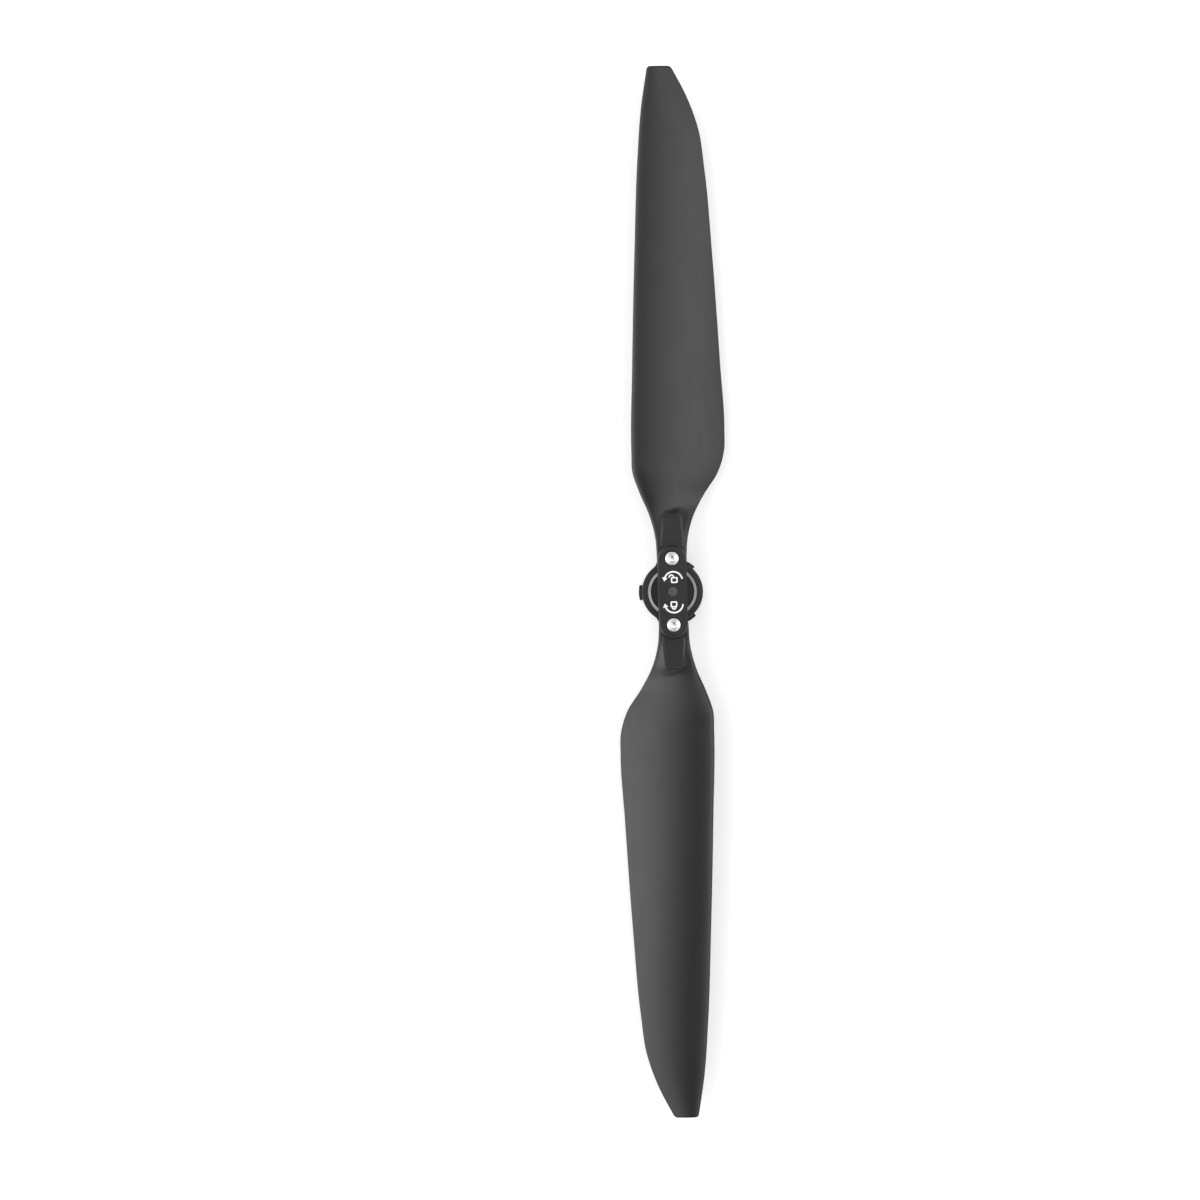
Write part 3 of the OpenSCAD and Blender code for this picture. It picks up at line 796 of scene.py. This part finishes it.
def ink_material():
    """Pad-printed white ink, a little uneven where it sits on the grain."""
    n = Nodes("printed_ink")
    grain = n.noise(0.2, detail=3, rough=0.65)
    colour = n.mixed(n.ranged(grain, 0.25, 0.55, 0, 1), (0.72, 0.72, 0.71), (0.86, 0.86, 0.85))
    rough = n.ranged(grain, 0.3, 0.7, 0.5, 0.62)
    return n.set(Base_Color=colour, Roughness=rough, Normal=n.bumped(grain, 0.006))


# ---------------------------------------------------------------- studio

FLOOR_SIZE, FLOOR_GLOW = 6, 0.35              # half the floor's side in metres, and the light it gives
# the soft boxes: direction from +X, angle from the zenith, sharpness of the edge, radiance; the last row
# lights the sides and back, and hardly shows from above
SOFT_BOXES = (
    (0, 18, 40, 0.5), (45, 18, 40, 1.5), (90, 18, 40, 1.2), (135, 18, 40, 0.3),
    (0, 38, 20, 3.5), (180, 38, 20, 2.6),
    (0, 68, 8, 0.7), (45, 68, 8, 0.4), (180, 68, 8, 3.7), (225, 68, 8, 1.4),
    (120, 55, 16, 2.2), (305, 62, 16, 2.2), (50, 62, 16, 1.2), (270, 80, 12, 1.2),
)
FRAME_WIDTH, FRAME_Z = 318.7, 6.5             # what the picture takes in, at the height of the blades
LENS, SENSOR = 150, 36
LEAN = 1.62                                   # degrees that the propeller leans left in the picture
HUB_RIGHT, HUB_UP = 19.3, 2.2                 # how far the spin axis lies from the picture's middle


def build_floor():
    """A pale floor, lit from below like a product photographer's light table."""
    d = FLOOR_SIZE
    mesh = bpy.data.meshes.new("floor")
    mesh.from_pydata([(-d, -d, 0), (d, -d, 0), (d, d, 0), (-d, d, 0)], [], [(0, 1, 2, 3)])
    floor = bpy.data.objects.new("floor", mesh)
    bpy.context.scene.collection.objects.link(floor)
    glow = {"Emission_Color": (1, 1, 1), "Emission_Strength": FLOOR_GLOW}
    mesh.materials.append(Nodes("light_table").set(Base_Color=(0.8, 0.8, 0.8), Roughness=0.9, **glow))


def soft_box(tree, ray, azimuth, tilt, sharpness, radiance):
    """The light that a ray meets from one soft box, which fades with the angle between them."""
    a, t = radians(azimuth), radians(tilt)
    node = tree.nodes.new("ShaderNodeVectorMath")
    node.operation = "DOT_PRODUCT"
    node.inputs[1].default_value = (sin(t) * cos(a), sin(t) * sin(a), cos(t))
    tree.links.new(ray, node.inputs[0])
    away = maths(tree, "SUBTRACT", node.outputs["Value"], 1)
    fade = maths(tree, "EXPONENT", maths(tree, "MULTIPLY", away, sharpness))
    return maths(tree, "MULTIPLY", fade, radiance)


def build_world():
    """A dark room with soft boxes round the propeller. Past the floor the camera sees plain white."""
    world = bpy.data.worlds.new("studio")
    bpy.context.scene.world = world
    world.use_nodes = True
    tree = world.node_tree
    tree.nodes.clear()
    ray = tree.nodes.new("ShaderNodeTexCoord").outputs["Generated"]
    total = 0.0
    for box in SOFT_BOXES:
        total = maths(tree, "ADD", total, soft_box(tree, ray, *box))
    lit = tree.nodes.new("ShaderNodeBackground")
    tree.links.new(total, lit.inputs["Strength"])
    seen = tree.nodes.new("ShaderNodeBackground")
    seen.inputs["Color"].default_value = (1, 1, 1, 1)
    from_camera = tree.nodes.new("ShaderNodeLightPath").outputs["Is Camera Ray"]
    mix = tree.nodes.new("ShaderNodeMixShader")
    tree.links.new(from_camera, mix.inputs[0])
    tree.links.new(lit.outputs[0], mix.inputs[1])
    tree.links.new(seen.outputs[0], mix.inputs[2])
    output = tree.nodes.new("ShaderNodeOutputWorld")
    tree.links.new(mix.outputs[0], output.inputs["Surface"])


def build_camera():
    """Looks straight down from far above, as the photograph does."""
    data = bpy.data.cameras.new("camera")
    data.lens, data.sensor_width = LENS, SENSOR
    data.clip_start, data.clip_end = 0.01, 20
    camera = bpy.data.objects.new("camera", data)
    bpy.context.scene.collection.objects.link(camera)
    lean = radians(LEAN)
    right, up = Vector((cos(lean), -sin(lean), 0)), Vector((sin(lean), cos(lean), 0))
    middle = -(right * HUB_RIGHT + up * HUB_UP)
    height = FRAME_WIDTH * LENS / SENSOR + FRAME_Z
    camera.location = Vector((middle.x, middle.y, height)) * MM
    camera.rotation_euler = (0, 0, -lean)
    bpy.context.scene.camera = camera


# ---------------------------------------------------------------- the scene


def build_pieces():
    black_hub = grained_material(
        "moulded_hub", (0.006, 0.006, 0.0062), (0.0095, 0.0095, 0.0098), depth=0.008, size=0.5, rough=0.42
    )
    black_plate = grained_material(
        "grained_plate", (0.001, 0.001, 0.001), (0.007, 0.007, 0.0072), depth=0.026, size=0.42, rough=0.4
    )
    grey_ring = grained_material(
        "marker_ring_finish", (0.4, 0.4, 0.405), (0.47, 0.47, 0.476), depth=0.006, size=0.4, rough=0.55
    )
    acetal = grained_material(
        "black_acetal", (0.012, 0.012, 0.012), (0.02, 0.02, 0.02), depth=0.003, size=0.5, rough=0.35
    )
    blasted = metal_material(
        "blasted_insert", (0.066, 0.066, 0.067), (0.092, 0.092, 0.094), 0.55,
        depth=0.01, size=0.2, metallic=0.6,
    )
    bright = metal_material("bright_screw", (0.78, 0.78, 0.79), (0.9, 0.9, 0.91), 0.22)
    ground = metal_material("ground_sleeve", (0.5, 0.5, 0.5), (0.62, 0.62, 0.62), 0.3)
    brass = metal_material("turned_brass", (0.62, 0.43, 0.17), (0.78, 0.57, 0.25), 0.3)

    build_blades(blade_material())
    build_hub(black_hub)
    build_marker_ring(grey_ring)
    build_centre_insert(blasted)
    build_plate(black_plate)
    build_screws(bright)
    build_threaded_inserts(brass)
    build_sleeves_and_washers(ground, acetal)


def print_marks(nodes):
    """The two printed symbols are the CAD's own nodes, and get only their ink."""
    ink = ink_material()
    for name in ("unlock_mark", "lock_mark"):
        materials = nodes[name].data.materials
        materials.clear()
        materials.append(ink)


def main():
    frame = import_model()
    view = bpy.context.scene.view_settings
    view.view_transform, view.look = "Standard", "None"

    build_pieces()
    print_marks(frame["nodes"])
    build_floor()
    build_world()
    build_camera()


main()
